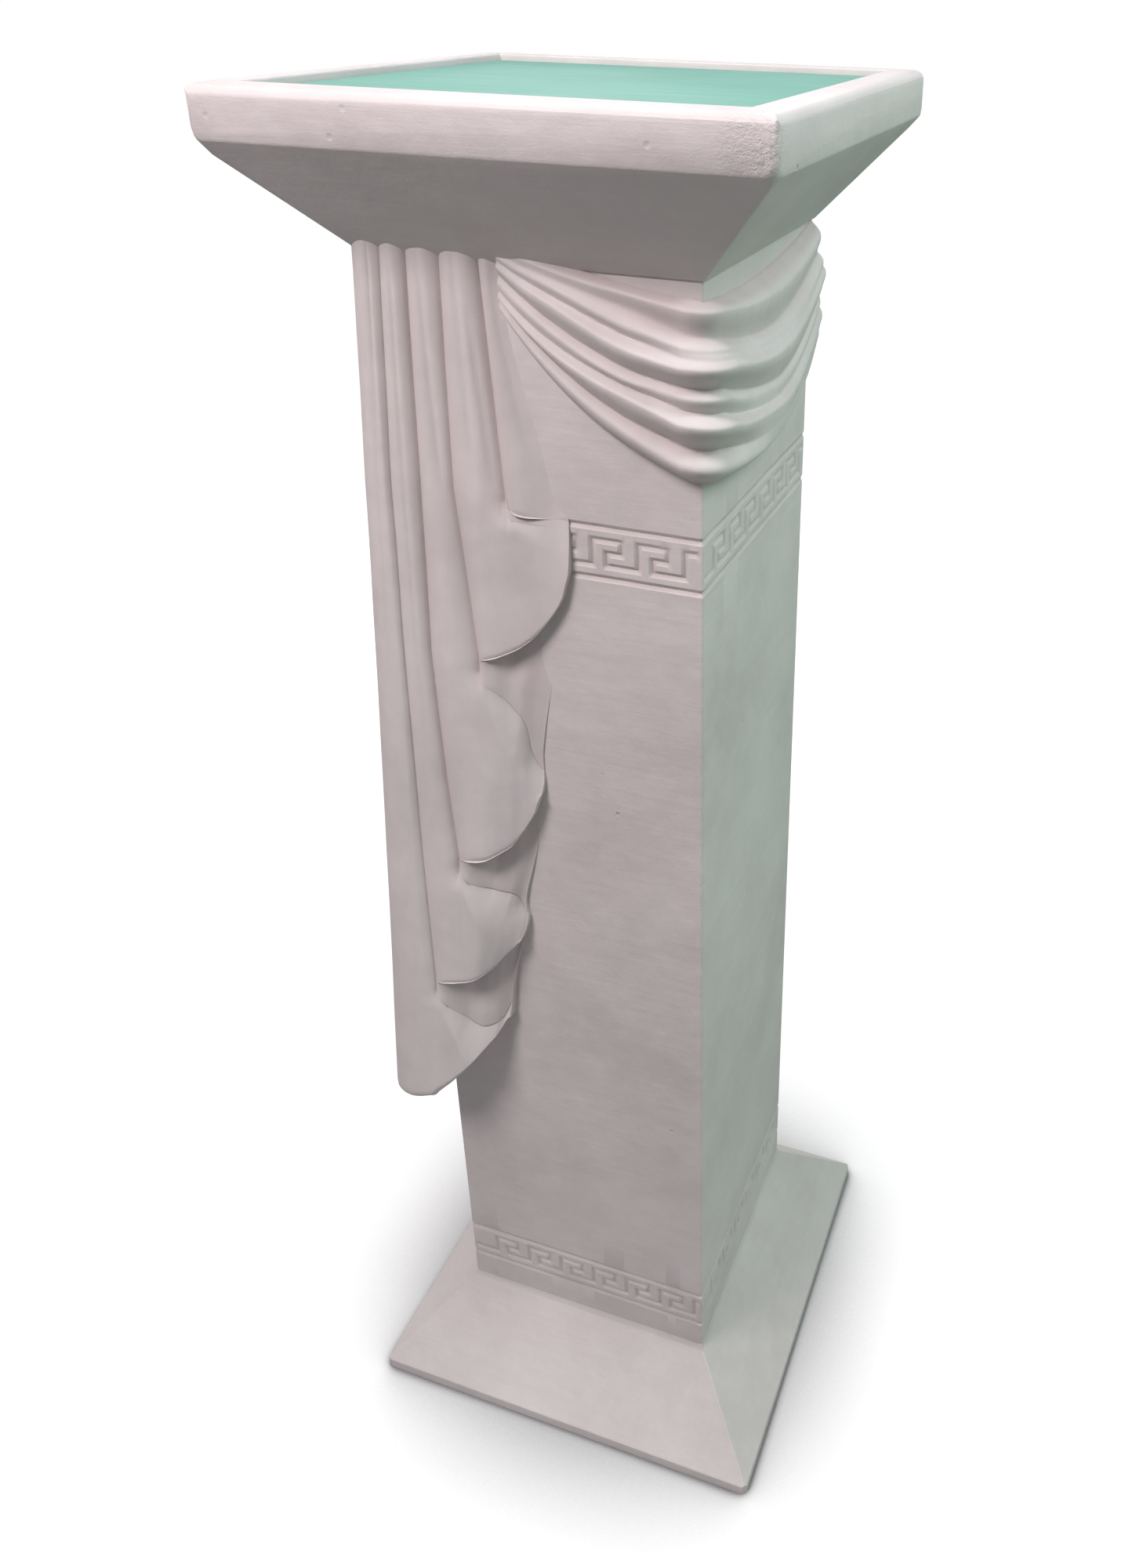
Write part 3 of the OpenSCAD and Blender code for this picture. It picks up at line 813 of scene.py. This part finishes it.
swag = {
    "drop": 120.0, "endDrop": 28.0, "topSag": 14.0, "thickness": 17.0, "lapRadius": 8.0, "sunk": 6.0,
    # distance of both ends from the front right corner, going round it
    "left": -113.6, "right": 243.6,
    # the curves of the lower and the top edge, the roll of the lower edge and the slow waviness
    "hang": 0.46, "sagReach": 0.74, "rolled": 0.07, "wave": 0.4,
    # share of the thickness lost at the ends, and how late along the cloth it goes
    "endThin": 0.7, "endShape": 2.6,
    "columns": 210, "rows": 120,
    # 0 for a sharp crease to 1 for a round one, from the top edge to the lower edge
    "soft": [0.4, 0.4, 1.0, 0.6, 0.5, 0.4, 0.35, 0.4, 0.45, 0.4, 0.35, 0.4, 0.3],
    "stations": [-113, -80, -40, -20, 0, 20, 45, 75, 110, 160, 243],
    # each fold line: place between the top and lower edges, then height as a share of the thickness
    "folds": [
        ([0.08, 0.06, 0.04, 0.04, 0.05, 0.06, 0.08, 0.10, 0.12, 0.12, 0.12],
         [0.70, 0.62, 0.55, 0.55, 0.55, 0.60, 0.65, 0.65, 0.65, 0.65, 0.70]),
        ([0.14, 0.11, 0.12, 0.15, 0.18, 0.21, 0.24, 0.27, 0.29, 0.27, 0.22],
         [0.66, 0.58, 0.42, 0.36, 0.36, 0.38, 0.42, 0.45, 0.45, 0.45, 0.50]),
        ([0.20, 0.17, 0.21, 0.22, 0.245, 0.27, 0.30, 0.33, 0.35, 0.34, 0.30],
         [0.85, 0.85, 0.80, 0.78, 0.74, 0.72, 0.76, 0.80, 0.80, 0.80, 0.85]),
        ([0.26, 0.25, 0.275, 0.28, 0.28, 0.30, 0.33, 0.36, 0.375, 0.37, 0.34],
         [0.72, 0.58, 0.56, 0.64, 0.84, 0.90, 0.94, 0.95, 0.92, 0.85, 0.75]),
        ([0.33, 0.30, 0.335, 0.33, 0.325, 0.34, 0.36, 0.39, 0.41, 0.41, 0.40],
         [1.00, 1.00, 1.05, 1.08, 1.10, 1.12, 1.12, 1.10, 1.05, 1.00, 1.00]),
        ([0.45, 0.47, 0.48, 0.46, 0.45, 0.48, 0.52, 0.57, 0.62, 0.62, 0.55],
         [0.50, 0.42, 0.42, 0.48, 0.50, 0.52, 0.54, 0.56, 0.60, 0.60, 0.60]),
        ([0.56, 0.53, 0.53, 0.51, 0.50, 0.53, 0.575, 0.62, 0.67, 0.66, 0.62],
         [0.80, 0.80, 0.78, 0.72, 0.80, 0.78, 0.70, 0.68, 0.72, 0.75, 0.75]),
        ([0.66, 0.62, 0.58, 0.57, 0.58, 0.61, 0.64, 0.68, 0.715, 0.70, 0.68],
         [0.60, 0.56, 0.48, 0.50, 0.52, 0.55, 0.60, 0.66, 0.70, 0.70, 0.65]),
        ([0.74, 0.68, 0.62, 0.62, 0.64, 0.66, 0.68, 0.71, 0.76, 0.76, 0.75],
         [0.90, 0.95, 1.00, 1.02, 1.05, 1.02, 1.00, 0.97, 0.95, 0.90, 0.90]),
        ([0.80, 0.79, 0.79, 0.785, 0.79, 0.80, 0.81, 0.82, 0.84, 0.84, 0.84],
         [0.50, 0.40, 0.38, 0.36, 0.36, 0.40, 0.72, 0.88, 0.88, 0.80, 0.70]),
        ([0.88, 0.86, 0.865, 0.875, 0.885, 0.885, 0.885, 0.89, 0.91, 0.91, 0.91],
         [0.70, 0.70, 0.72, 0.76, 0.80, 0.82, 0.86, 0.88, 0.84, 0.78, 0.75]),
    ],
}


def makeSwag():
    left, right = swag["left"], swag["right"]
    middle, reach = (left + right) / 2, (right - left) / 2

    def hang(s):
        return math.cosh((s - middle) / reach / swag["hang"]) - 1

    def topEdge(s):
        return neck - swag["topSag"] * (1 - ((s - middle) / reach / swag["sagReach"]) ** 2)

    def lowEdge(s):
        return neck - swag["drop"] + (swag["drop"] - swag["endDrop"]) * hang(s) / hang(left)

    knots = {}

    def knotsAt(s):
        if s not in knots:
            rows = [(0.0, 0.10)]
            for places, heights in swag["folds"]:
                rows.append((curveAt(swag["stations"], places, s), curveAt(swag["stations"], heights, s)))
            rows.append((1.0, 0.16))
            knots[s] = rows
        return knots[s]

    def across(s, p):
        # creases are sharp and ridges are round
        rows = knotsAt(s)
        k = max(i for i in range(len(rows) - 1) if rows[i][0] <= p)
        (p0, h0), (p1, h1) = rows[k], rows[k + 1]
        x = (p - p0) / (p1 - p0)
        soft = swag["soft"][k]
        if h1 <= h0:
            x, soft = 1 - x, swag["soft"][k + 1]
        f = (1 - soft) * math.sin(x * pi / 2) + soft * math.sin(x * pi / 2) ** 2
        h = min(h0, h1) + abs(h1 - h0) * f
        # the lower edge is rolled under
        edge = min(1.0, (1 - p) / swag["rolled"])
        return h * math.sqrt(max(0.0, 1 - (1 - edge) ** 2)) * 0.9 + 0.1 * h, h

    def place(s, p):
        full = swag["thickness"] * (1 - swag["endThin"] * abs((s - middle) / reach) ** swag["endShape"])
        h, plainHeight = across(s, p)
        out = full * h + swag["wave"] * noise.noise(Vector((s * 0.03, p * 5, 4.2)))
        z = topEdge(s) * (1 - p) + lowEdge(s) * p
        # low places between the folds get the recess value, which the plaster darkens: dust and painted shade
        deep = smooth((0.72 - plainHeight) / 0.4)
        return lapPoint(s, max(0.3, out), z, swag["lapRadius"]), 0.8 * deep

    def root(s, p):
        z = topEdge(s) * (1 - p) + lowEdge(s) * p
        return lapPoint(s, -swag["sunk"], z, swag["lapRadius"])

    columns = [left + (right - left) * i / swag["columns"] for i in range(swag["columns"] + 1)]
    shares = [i / swag["rows"] for i in range(swag["rows"] + 1)]
    return clothSheet("hangingSwag", columns, shares, place, root, Vector((0, 0, neck - swag["drop"] / 2)))


hangingSwag = makeSwag()

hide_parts("pedestal")
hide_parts("top_panel")
print("pieces ready")

# the floor's glow is seen by the camera only, and fades close to the base, where ambient occlusion darkens it into
# a painted contact shadow
studio = {"floorSize": 9.0, "world": 0.18, "floorTone": 0.38, "seenTone": 0.22,
          "nearGlow": 0.90, "farGlow": 1.0, "glowFrom": 0.45, "glowTo": 1.3,
          "shadowReach": 0.16, "shadowFade": (0.58, 0.99),
          # each lamp: place, what it points at, size, power, colour
          "lamps": {
              "keyLight": ((-0.45, -1.10, 2.00), (0, 0, 0.85), 0.6, 24.0, (1.0, 0.875, 0.90)),
              "topLight": ((0.1, -0.45, 2.3), (0, 0, 0.6), 0.9, 6.0, (0.96, 0.985, 1.0)),
              "sideLight": ((1.05, 0.25, 0.62), (0, 0, 0.88), 0.5, 1.2, (0.25, 1.0, 0.55)),
              "rightLight": ((1.30, 0.0, 2.05), (0.1, 0, 0.3), 0.9, 17.0, (0.93, 0.99, 1.0)),
              "backLight": ((-0.9, 1.7, 0.75), (0, 0, 0.5), 0.9, 14.0, (1.0, 0.97, 0.96))}}


def makeFloor():
    bm = bmesh.new()
    bmesh.ops.create_grid(bm, x_segments=1, y_segments=1, size=studio["floorSize"])
    mesh = bpy.data.meshes.new("floor")
    bm.to_mesh(mesh)
    bm.free()
    floor = bpy.data.objects.new("floor", mesh)
    bpy.context.collection.objects.link(floor)
    material, nodes, links = newMaterial("studio_floor")
    seen = nodes.new("ShaderNodeLightPath").outputs["Is Camera Ray"]
    near = nodes.new("ShaderNodeAmbientOcclusion")
    near.inputs["Distance"].default_value = studio["shadowReach"]
    near.samples = 12
    reach = nodes.new("ShaderNodeVectorMath")
    reach.operation = "LENGTH"
    links.new(nodes.new("ShaderNodeTexCoord").outputs["Object"], reach.inputs[0])
    glow = rangeNode(nodes, links, reach.outputs["Value"], studio["glowFrom"], studio["glowTo"],
                     studio["nearGlow"], studio["farGlow"])
    glow = mathNode(nodes, links, "MULTIPLY", glow,
                    rangeNode(nodes, links, near.outputs["AO"], *studio["shadowFade"]))
    glow = mathNode(nodes, links, "MULTIPLY", glow, seen)
    emission = nodes.new("ShaderNodeEmission")
    emission.inputs["Color"].default_value = (1, 1, 1, 1)
    links.new(glow, emission.inputs["Strength"])
    diffuse = nodes.new("ShaderNodeBsdfDiffuse")
    tone = rangeNode(nodes, links, seen, 0, 1, studio["floorTone"], studio["seenTone"])
    links.new(tone, diffuse.inputs["Color"])
    add = nodes.new("ShaderNodeAddShader")
    links.new(emission.outputs[0], add.inputs[0])
    links.new(diffuse.outputs[0], add.inputs[1])
    output = nodes.new("ShaderNodeOutputMaterial")
    links.new(add.outputs[0], output.inputs["Surface"])
    mesh.materials.append(material)


makeFloor()


def areaLight(name, place, target, size, power, colour):
    light = bpy.data.lights.new(name, "AREA")
    light.shape = "DISK"
    light.size = size
    light.energy = power
    light.color = colour
    lamp = bpy.data.objects.new(name, light)
    lamp.location = place
    lamp.rotation_euler = (Vector(target) - Vector(place)).to_track_quat("-Z", "Y").to_euler()
    bpy.context.collection.objects.link(lamp)


for name, lamp in studio["lamps"].items():
    areaLight(name, *lamp)

# the world is white to the camera and in reflections, and dim as a light
world = bpy.data.worlds.new("studio")
bpy.context.scene.world = world
world.use_nodes = True
nodes, links = world.node_tree.nodes, world.node_tree.links
nodes.clear()
path = nodes.new("ShaderNodeLightPath")
seen = mathNode(nodes, links, "MAXIMUM", path.outputs["Is Camera Ray"], path.outputs["Is Transmission Ray"])
seen = mathNode(nodes, links, "MAXIMUM", seen, path.outputs["Is Glossy Ray"])
ambient = nodes.new("ShaderNodeBackground")
ambient.inputs["Color"].default_value = (1, 1, 1, 1)
ambient.inputs["Strength"].default_value = studio["world"]
white = nodes.new("ShaderNodeBackground")
white.inputs["Color"].default_value = (1, 1, 1, 1)
white.inputs["Strength"].default_value = 1.0
mix = nodes.new("ShaderNodeMixShader")
links.new(seen, mix.inputs["Fac"])
links.new(ambient.outputs[0], mix.inputs[1])
links.new(white.outputs[0], mix.inputs[2])
worldOut = nodes.new("ShaderNodeOutputWorld")
links.new(mix.outputs[0], worldOut.inputs["Surface"])

# angles in degrees: heading turns from +y towards -x, pitch looks down
view = {"place": (0.3275, -0.7128, 1.0546), "heading": 17.93, "pitch": 26.197, "roll": 1.154,
        "lens": 29.386, "shift": (-0.11458, -0.11753)}


def makeCamera():
    heading, pitch, roll = (math.radians(view[k]) for k in ("heading", "pitch", "roll"))
    ahead = Vector((-math.sin(heading) * math.cos(pitch), math.cos(heading) * math.cos(pitch), -math.sin(pitch)))
    right = Vector((math.cos(heading), math.sin(heading), 0))
    up = right.cross(ahead)
    r = right * math.cos(roll) + up * math.sin(roll)
    u = up * math.cos(roll) - right * math.sin(roll)
    data = bpy.data.cameras.new("camera")
    data.sensor_width = 36
    data.lens = view["lens"]
    data.shift_x, data.shift_y = view["shift"]
    data.clip_start = 0.05
    camera = bpy.data.objects.new("camera", data)
    turn = Matrix((r, u, -ahead)).transposed()
    camera.matrix_world = Matrix.Translation(view["place"]) @ turn.to_4x4()
    bpy.context.collection.objects.link(camera)
    bpy.context.scene.camera = camera


makeCamera()
bpy.context.scene.view_settings.view_transform = "Standard"

print("stage ready")
